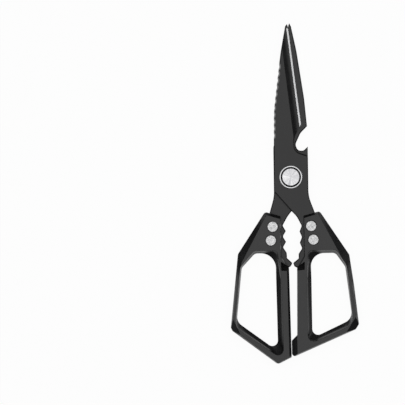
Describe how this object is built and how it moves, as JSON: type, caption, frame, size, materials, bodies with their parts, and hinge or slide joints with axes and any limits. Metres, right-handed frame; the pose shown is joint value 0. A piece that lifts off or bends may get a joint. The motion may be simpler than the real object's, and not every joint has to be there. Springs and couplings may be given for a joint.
{
  "type": "kitchen shears",
  "caption": "Riveted all-metal kitchen shears with a fish scaler spine, a bottle opener notch, nutcracker jaws and angular finger loops, hinged on a disc-headed pivot screw.",
  "frame": {"origin": "on the pivot axis, in the plane of the handle backs and the nut's back that the shears lie on", "axes": "+Y from the pivot towards the tips, +Z out of the front face with the screw head, +X towards the handle of the front blade"},
  "size_m": [0.0886, 0.235, 0.011],
  "materials": {
    "blade_steel": "hardened steel with a satin black coating and a bright honed bevel",
    "handle_casting": "die casting with a satin black coating",
    "rivet_steel": "bare steel, peened heads",
    "pivot_steel": "bare steel, turned"
  },
  "bodies": {
    "rear_half": {"rear_blade": "blade_steel", "left_handle": "handle_casting", "left_rivet_upper": "rivet_steel", "left_rivet_lower": "rivet_steel", "pivot_screw": "pivot_steel", "pivot_washer": "pivot_steel", "pivot_nut": "pivot_steel"},
    "front_half": {"front_blade": "blade_steel", "right_handle": "handle_casting", "right_rivet_upper": "rivet_steel", "right_rivet_lower": "rivet_steel"}
  },
  "joints": [
    {"name": "pivot", "type": "hinge", "parent": "rear_half", "child": "front_half", "pos_m": [0, 0, 0], "axis": [0, 0, 1], "range_deg": [0, 118]}
  ]
}
